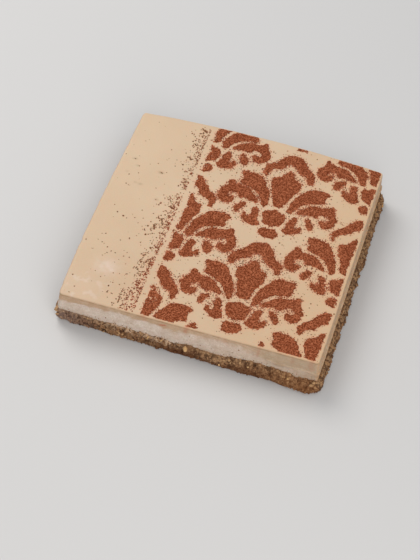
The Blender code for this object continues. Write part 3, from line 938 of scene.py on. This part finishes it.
crumb = {
    "spacing": 0.55,
    "outlineHeight": 4,
    "easing": 3,
    "rowSpacing": 0.55, "lastRow": 0.98,
    "lip": 0.7,  # how far it stands out just under the creams
    "lipReach": 2.4,  # how far down from there until it is the solid's own side
    "rimAbove": 0.3,  # how far above the creams' foot their side is read
    "inside": 0.88,  # the hidden ring under the creams, as a share of the outline
    "sunk": 0.2,  # and how far it lies below their foot
    "under": 0.97,  # the ring that it stands on
    "lumps": ((4.4, 1.1), (2.2, 0.85), (1.1, 0.35)),
    "lumpSeed": 3,
    "pit": (6.5, 9.1),  # size and seed of the pits
    "pitLimits": (0.2, 0.5),
    "pitDepth": 1.3,
    "freeFrom": (0.2, 2),  # the heights above which it is craggy
    "swell": 0.35,  # makes up for the creases
    "rightSwell": 0.5,  # more of it on the right, where the pits are shallower
    "rightPits": 0.4,
    "leftSunk": 0.6,  # how much deeper the crumbs sit in its left side
    "lifted": 0.7,  # how much lighter it is near the creams: painted light on the ledge that faces up
    "tones": {
        "mid": "#8a6443", "light": "#b69068",
        "speckled": "#623d26",
        # crease is painted shade for the creases and pits, also used for the right side's dark patches
        "crease": "#382115",
        # foot is painted shade, at the foot and in the middle and right end of the front
        "foot": "#5d3519",
        # upper and side are painted light: upper for the ledge near the creams (also the right side's
        # light patches), side for the sides away from the front
        "upper": "#c09a72",
        "side": "#a27b4f",
        "right": "#8c5325",
        # grey is a painted grey reflection at the left of the front
        "grey": "#958078",
        "cream": "#cfae8f",
    },
    "looks": {
        "big": (4.5, 3, 0.35, 0.65), "small": (1.3, 4, 0.35, 0.65), "speckled": 0.75,
        # painted shade in the creases and pits
        "creases": (-1, 0.15, 0.85, 0), "pits": 0.6,
        # painted light on the ledge near the creams
        "upper": (4.5, 0.5),
        # painted shade, darker towards the foot of the front
        "foot": (2.5, 7), "footFrom": ("X", -45, -15), "footTo": ("X", 45, 75, 0.7, 0.35),
        # painted shade: it is darker from top to foot in the middle of the front, and near its right end
        "darkMiddle": ("X", -18, 6, 12), "darkEnd": ("X", 84, 96, 0, 0.4), "dark": (0, 1, 0, 0.38),
        "redder": ("X", 40, 85), "redFront": (0, 1, 0.1, 0.35),
        # a painted grey reflection, at the left of the front
        "greyer": ("X", -66, -99), "grey": (0, 1, 0.1), "greyed": 0.5,
        # the right side's light and dark patches
        "right": ("X", 97, 102), "patchy": (3.2, 2, 0.44, 0.56),
        "darkPatch": (0, 0.5, 0.55, 0), "lightPatch": (0.5, 1, 0, 0.45),
        # cream smeared over its ledge
        "creamy": ("X", -62, -12, 12), "creamyDepth": (4.6, 1), "creamyPatches": (3.5, 3, 0.4, 0.56),
        "bump": 0.35,
        # the single crumbs
        "bitTone": (1.5, 2, 0.35, 0.65), "bitGrain": (0.5, 2, 0, 1), "bitBump": 0.12,
    },
}


def rimOf(line):
    # the point of the creams' foot that is nearest to each point, its way out and its height
    tree = kdtree.KDTree(len(outline))
    for index, point in enumerate(outline):
        tree.insert((*point, 0), index)
    tree.balance()
    nearest = [tree.find((*point, 0))[1] for point in line]
    side = sideRing(paleTree, outline, outward, solidFoot + crumb["rimAbove"])
    return side[nearest, :2], outward[nearest], foot[nearest]


def baseShape():
    line, out, _ = outlineOf(baseTree, crumb["outlineHeight"], crumb["spacing"], crumb["easing"])
    rim, rimOut, rimHeight = rimOf(line)
    rings = [np.column_stack([middle + (line - middle) * crumb["inside"], rimHeight - crumb["sunk"]])]
    rows = round(rimHeight.mean() / crumb["rowSpacing"])
    for share in np.linspace(0, crumb["lastRow"], rows):
        ring = sideRing(baseTree, line, out, rimHeight * (1 - share))
        below = rimHeight * share
        lip = ease(crumb["lipReach"], 0, below)[:, None]
        ring[:, :2] += (rim + rimOut * crumb["lip"] - ring[:, :2]) * lip
        rings.append(ring)
    rings.append(np.column_stack([middle + (line - middle) * crumb["under"], np.zeros(len(line))]))
    corners, faces = loft(rings)
    normals = normalsOf(corners, faces)
    lumps = sum(depth * (lumpNoise(corners, size, crumb["lumpSeed"] + size) - 0.5)
                for size, depth in crumb["lumps"])
    pits = ease(*crumb["pitLimits"], softNoise(corners, *crumb["pit"]))
    free = ease(*crumb["freeFrom"], corners[:, 2])
    free[:len(line)] = 0

    def everyRing(values):
        # a ring's values at all the points, 0 at the inner ones
        repeated = np.tile(values, len(corners) // len(line))
        return np.append(repeated, np.zeros(len(corners) - len(repeated)))

    right = everyRing(sideShare(out, (1, 0)))
    pits *= 1 - (1 - crumb["rightPits"]) * right
    swell = crumb["swell"] + crumb["rightSwell"] * right
    corners = corners + normals * ((swell + lumps - crumb["pitDepth"] * pits) * free)[:, None]
    corners[:, 2] = np.maximum(corners[:, 2], 0)
    below = everyRing(rimHeight) - corners[:, 2]
    return corners, faces, {"lump": lumps, "pit": pits, "below": below,
                            "front": everyRing(sideShare(out, (0, -1)))}


def paintedLightCrumb(paint, colour, share):
    # painted light: lighter near the creams, where the ledge faces up, and off the front
    upper = paint.mark("below", (*paint.look("upper"), 0, share))
    offFront = paint.mark("front", (1, 0, 0, share / 3))
    return paint.coated(colour, (upper, "upper"), (offFront, "side"))


def shadedCrumb(paint, colour, greyed):
    # painted shade and a painted grey reflection: greyer at the left, darker at the foot and in places
    # on the front; and redder at the right
    foot = paint.product(paint.mark("below", "foot"), paint.mark("front"),
                         paint.along("footFrom"), paint.along("footTo"))
    dark = paint.mathOf("ADD", paint.between("darkMiddle"), paint.along("darkEnd"))
    dark = paint.product(dark, paint.mark("front", "dark"))
    redder = paint.product(paint.along("redder"), paint.mark("front", "redFront"))
    greyer = paint.product(paint.along("greyer"), paint.mark("front", (*paint.look("grey"), greyed)))
    return paint.coated(colour, (foot, "foot"), (dark, "foot"), (redder, "right"), (greyer, "grey"))


def crumbFinish():
    paint = Paint("crumbFinish", crumb["looks"], crumb["tones"], Roughness=0.8,
                  Specular_IOR_Level=0.25)
    small = paint.grain("small")
    colour = paintedLightCrumb(paint, paint.coated("mid", (paint.grain("big"), "light")), crumb["lifted"])
    # speckled grains, then painted shade in the creases between the lumps and in the pits
    colour = paint.coated(colour, (paint.product(small, "speckled"), "speckled"),
                          (paint.mark("lump", "creases"), "crease"),
                          (paint.product(paint.mark("pit"), "pits"), "crease"))
    patchy, right = paint.grain("patchy"), paint.along("right")
    creamy = paint.product(paint.between("creamy"), paint.mark("below", "creamyDepth"),
                           paint.grain("creamyPatches"))
    colour = paint.coated(shadedCrumb(paint, colour, paint.look("greyed")),
                          (paint.product(right, paint.spread(patchy, "darkPatch")), "crease"),
                          (paint.product(right, paint.spread(patchy, "lightPatch")), "upper"),
                          (creamy, "cream"))
    return paint.finished(colour, small, "bump")


baseCorners, baseFaces, baseMarks = baseShape()
meshPiece("crumbBase", baseCorners, baseFaces, crumbFinish(), ["crumb_base"], baseMarks)


# Crumbs pressed into the base's sides

crumbKinds = {
    # lifted and the share after it set how much of the base's painted light near the creams, and of its
    # painted grey reflection, each kind gets
    "darkCrumbs": {"count": 1800, "size": (0.35, 1.15), "rounds": 1, "tones": ("#432917", "#64412a"),
                   "lifted": 0.12, "greyed": 0.15},
    "brownCrumbs": {"count": 2100, "size": (0.35, 1.3), "rounds": 1, "tones": ("#7d5436", "#99704c"),
                    "lifted": 0.6, "greyed": 0.5},
    "tanCrumbs": {"count": 620, "size": (0.3, 1.1), "rounds": 1, "tones": ("#ad8459", "#c8a277"),
                  "lifted": 0.6, "greyed": 0.35},
    "nutBits": {"count": 10, "size": (0.5, 1), "rounds": 2, "tones": ("#cc9f68", "#dab280"),
                "lifted": 0, "greyed": 0.2},
}

# The plainest bits, each in its own place: across, deep and depth below the top, and radius.
plainBits = {
    "nutBits": ((-31, -102, 21.5, 0.9), (-20.5, -102, 21, 0.8), (-0.9, -104, 20.7, 1.8),
                (-0.5, -103, 24.5, 0.9), (26, -105, 27.5, 0.9), (48, -104, 22, 0.8),
                (79, -105, 21.5, 0.8), (104, 91, 27, 1.5)),
    "tanCrumbs": ((-104.2, -99.6, 18.8, 1.4), (-104.2, -99.2, 21.8, 1.7), (-103.4, -100.6, 24.5, 1.3),
                  (97, -104, 23, 1.8), (98.5, -103, 20.5, 1.4), (33, -103, 21, 1.4)),
}
stuck = {"count": 420, "size": (0.22, 0.5), "reach": 1.9, "tones": ("#7a5236", "#a07a55"),
         "highest": 2,  # how far they keep below the top
         "clear": 0.2}  # how far from the pale layer's edges its side is read
bits = {"uneven": 0.25, "sunk": (0, 0.5), "smaller": 2, "lowest": 0.02,
        "lowestMiddle": 0.4, "inside": 0.3}  # where on the base none are put


def crumbKindFinish(name, tones, lifted=None, greyed=None):
    paint = Paint(name + "Finish", crumb["looks"], crumb["tones"], Roughness=0.8,
                  Specular_IOR_Level=0.3)
    colour = paint.coated(tones[0], (paint.grain("bitTone"), tones[1]))
    # the crumbs take the base's painted light, painted shade and painted grey reflection
    if greyed:
        colour = shadedCrumb(paint, paintedLightCrumb(paint, colour, lifted), greyed)
    return paint.finished(colour, paint.grain("bitGrain"), "bitBump")


def showingFaces():
    # middles, ways out and chances of the base's faces that can be seen
    quads = np.array([face for face in baseFaces if len(face) == 4])
    points = baseCorners[quads]
    middles = points.mean(1)
    cross = np.cross(points[:, 2] - points[:, 0], points[:, 3] - points[:, 1])
    areas = np.linalg.norm(cross, axis=1)
    ways = cross / np.maximum(areas, 1e-9)[:, None]
    low = middles[:, 2] < bits["lowestMiddle"]
    hidden = low | insideRing(middles[:, :2], outline, bits["inside"])
    areas = np.where(hidden, 0, areas)
    below, front = [baseMarks[name][quads].mean(1) for name in ("below", "front")]
    return middles, ways, below, front, areas / areas.sum()


def scatterCrumbs():
    middles, ways, below, front, chances = showingFaces()
    draw = drawOf("crumbs")
    for name, kind in crumbKinds.items():
        picked = draw.choice(len(middles), kind["count"], p=chances)
        sizes = drawSizes(draw, kind["size"], kind["count"], bits["smaller"])
        sunk = sizes * draw.uniform(*bits["sunk"], kind["count"])
        sunk += crumb["leftSunk"] * sideShare(ways[picked, :2], (-1, 0))
        centres = middles[picked] - ways[picked] * sunk[:, None]
        depths, fronts = below[picked], front[picked]
        for across, deep, depth, radius in plainBits.get(name, ()):
            centres = np.vstack([centres, [across + middle[0], deep + middle[1], topHeight - depth]])
            sizes, depths, fronts = np.append(sizes, radius), np.append(depths, 0), np.append(fronts, 0)
        corners, faces = blobs(centres, sizes, draw, kind["rounds"], bits["uneven"])
        corners[:, 2] = np.maximum(corners[:, 2], bits["lowest"])
        each = len(corners) // len(centres)
        marks = {"below": np.repeat(depths, each), "front": np.repeat(fronts, each)}
        finish = crumbKindFinish(name, kind["tones"], kind["lifted"], kind["greyed"])
        meshPiece(name, corners, faces, finish, marks=marks)


def stickCrumbs():
    # small crumbs on the creams' sides, most of them near their foot
    draw = drawOf("stuck")
    picked = draw.integers(len(outline), size=stuck["count"])
    heights = foot[picked] + draw.exponential(stuck["reach"], stuck["count"])
    low = heights < topHeight - stuck["highest"]
    picked, heights = picked[low], heights[low]
    lowest = solidFoot[picked] + stuck["clear"]
    highest = seam[picked] - cake["gap"] - stuck["clear"]
    read = np.maximum(lowest, np.minimum(heights, highest))
    ring = sideRing(paleTree, outline[picked], outward[picked], read)
    ring[:, 2] = heights
    sizes = drawSizes(draw, stuck["size"], len(ring))
    corners, faces = blobs(ring, sizes, draw, 1, bits["uneven"])
    meshPiece("stuckCrumbs", corners, faces, crumbKindFinish("stuckCrumbs", stuck["tones"]))


scatterCrumbs()
stickCrumbs()


# The cocoa

def cocoaShape():
    thick = ease(*cocoa["riseLimits"], shapesBlurred(cocoa["rise"])).ravel()
    used = cocoaMask.ravel()
    heights = cocoa["thin"] + (cake["reliefHeight"] - cocoa["thin"]) * thick
    bumps = layeredNoise(gridPoints[used], *cocoa["bumps"])
    heights[used] += bumps * (cocoa["thinBumps"] + (1 - cocoa["thinBumps"]) * thick[used])
    draw = drawOf("cocoa")
    plan = gridPoints[:, :2] + middle + draw.uniform(-1, 1, (len(gridPoints), 2)) * cocoa["jitter"]
    corners = np.column_stack([plan, topHeight + np.maximum(heights, cocoa["least"])])
    corners[used, 2] += topWaves(plan[used])
    index = np.arange(len(used)).reshape(cocoaMask.shape)
    cells = np.stack([index[:-1, :-1], index[1:, :-1], index[1:, 1:], index[:-1, 1:]], -1).reshape(-1, 4)
    full = used[cells].sum(1)
    faces = cells[full == 4].tolist()
    faces += [[v for v in cell if used[v]] for cell in cells[full == 3].tolist()]
    return wallsBelow(corners, faces, thick)


def wallsBelow(corners, faces, thick):
    # walls round the powder, which reach a little into the cream
    pairs = {(a, b) for face in faces for a, b in zip(face, face[1:] + face[:1])}
    rim = sorted((a, b) for a, b in pairs if (b, a) not in pairs)
    inUse = sorted({v for face in faces for v in face})
    onRim = sorted({v for pair in rim for v in pair})
    number = {v: i for i, v in enumerate(inUse)}
    below = {v: len(inUse) + i for i, v in enumerate(onRim)}
    under = corners[onRim].copy()
    under[:, 2] = topHeight - cocoa["sunk"] + topWaves(under[:, :2])
    faces = [[number[v] for v in face] for face in faces]
    faces += [[number[b], number[a], below[a], below[b]] for a, b in rim]
    return np.vstack([corners[inUse], under]), faces, {"thick": np.append(thick[inUse], thick[onRim])}


def cocoaFinish(name, tones, *edgeMark):
    paint = Paint(name, cocoa["looks"], tones, Roughness=0.95, Specular_IOR_Level=0.12)
    clumps, dots = paint.grain("clumps"), paint.grain("dots")
    colour = paint.coated("mid", (clumps, "light"), (paint.product(dots, "dotShare"), "dark"),
                          (paint.mark(*edgeMark), "edge"))
    return paint.finished(colour, paint.coated(clumps, (0.5, dots)), "bump")


corners, faces, marks = cocoaShape()
cocoaDamaskFinish = cocoaFinish("cocoaFinish", cocoa["tones"], "thick", "thinEdge")
meshPiece("cocoaDamask", corners, faces, cocoaDamaskFinish, ["coffee_topping"], marks)


def straySpecks():
    draw = drawOf("specks")
    plan = specks + middle
    centres = np.column_stack([plan, topHeight + topWaves(plan) + speckSizes * stray["lifted"]])
    corners, faces = blobs(centres, speckSizes, draw, 1, stray["uneven"], stray["flatten"])
    deep = specks[:, 1]
    fromBand = np.abs(stray["bandRight"] + stray["lean"] * deep - specks[:, 0])
    fromBand -= stray["redFront"] * ease(*stray["redFrontFrom"], deep)
    redBand = stray["redShare"] * ease(*stray["redReach"], fromBand)
    redBand *= 1 - stray["backLess"] * ease(*stray["backFrom"], deep)
    reddened = np.maximum(ease(*stray["redNear"], gridAt(shapesNear, specks)), redBand)
    alone = (1 - reddened) * draw.uniform(*stray["redUneven"], len(centres))
    return corners, faces, {"alone": np.repeat(alone, len(corners) // len(centres))}


corners, faces, marks = straySpecks()
speckFinish = cocoaFinish("cocoaSpeckFinish", stray["tones"], "alone")
meshPiece("cocoaSpecks", corners, faces, speckFinish, marks=marks)


# Floor, light and camera

stageSetting = {
    "floorTone": "#cfcfcf",
    "floorSize": 6000,
    "skyTone": "#eef1f5",
    "skyStrength": 0.55,
}
lamps = {
    "window": {"from": (-900, 700, 1300), "size": 1100, "power": 15, "tone": "#fffaf4"},
    "front": {"from": (500, -1050, 850), "size": 1200, "power": 9, "tone": "#fff8f0"},
}
photoCamera = {
    "turn": 13.02, "rise": 50.43, "roll": 4.85,  # degrees
    "distance": 1496.9,
    "aim": (1.09, -50.48),  # on the cake's top
    "lens": 127.26,
}


def layFloor():
    half = stageSetting["floorSize"] / 2 * mm
    mesh = bpy.data.meshes.new("floor")
    floorCorners = [(-half, -half, 0), (half, -half, 0), (half, half, 0), (-half, half, 0)]
    mesh.from_pydata(floorCorners, [], [(0, 1, 2, 3)])
    paint = Paint("floorFinish", {}, {}, Roughness=0.6, Base_Color=linear(stageSetting["floorTone"]))
    mesh.materials.append(paint.finish)
    floor = addObject("floor", mesh)


def hangLamps():
    aim = Vector((*(middle * mm), topHeight * mm))
    for name, lamp in lamps.items():
        light = bpy.data.lights.new(name, "AREA")
        light.shape = "DISK"
        light.size = lamp["size"] * mm
        light.energy = lamp["power"]
        light.color = linear(lamp["tone"])[:3]
        holder = addObject(name, light)
        holder.location = Vector(lamp["from"]) * mm
        holder.rotation_euler = (aim - holder.location).to_track_quat("-Z", "Y").to_euler()
    world = bpy.data.worlds.new("studio")
    world.use_nodes = True
    sky = world.node_tree.nodes["Background"]
    sky.inputs["Color"].default_value = linear(stageSetting["skyTone"])
    sky.inputs["Strength"].default_value = stageSetting["skyStrength"]
    bpy.context.scene.world = world


def placeCamera():
    turn, rise, roll = [math.radians(photoCamera[key]) for key in ("turn", "rise", "roll")]
    back = Vector((math.sin(turn) * math.cos(rise), -math.cos(turn) * math.cos(rise), math.sin(rise)))
    right = Vector((0, 0, 1)).cross(back).normalized()
    up = back.cross(right)
    rolledRight = right * math.cos(roll) + up * math.sin(roll)
    rolledUp = up * math.cos(roll) - right * math.sin(roll)
    aim = Vector((*(middle + photoCamera["aim"]), topHeight)) * mm
    lens = bpy.data.cameras.new("photoCamera")
    lens.lens = photoCamera["lens"]
    lens.sensor_fit = "AUTO"
    camera = addObject("photoCamera", lens)
    axes = Matrix((rolledRight, rolledUp, back)).transposed().to_4x4()
    camera.matrix_world = Matrix.Translation(aim + back * photoCamera["distance"] * mm) @ axes
    bpy.context.scene.camera = camera


layFloor()
hangLamps()
placeCamera()
bpy.context.scene.view_settings.view_transform = "Standard"
print("floor, lamps and camera placed")
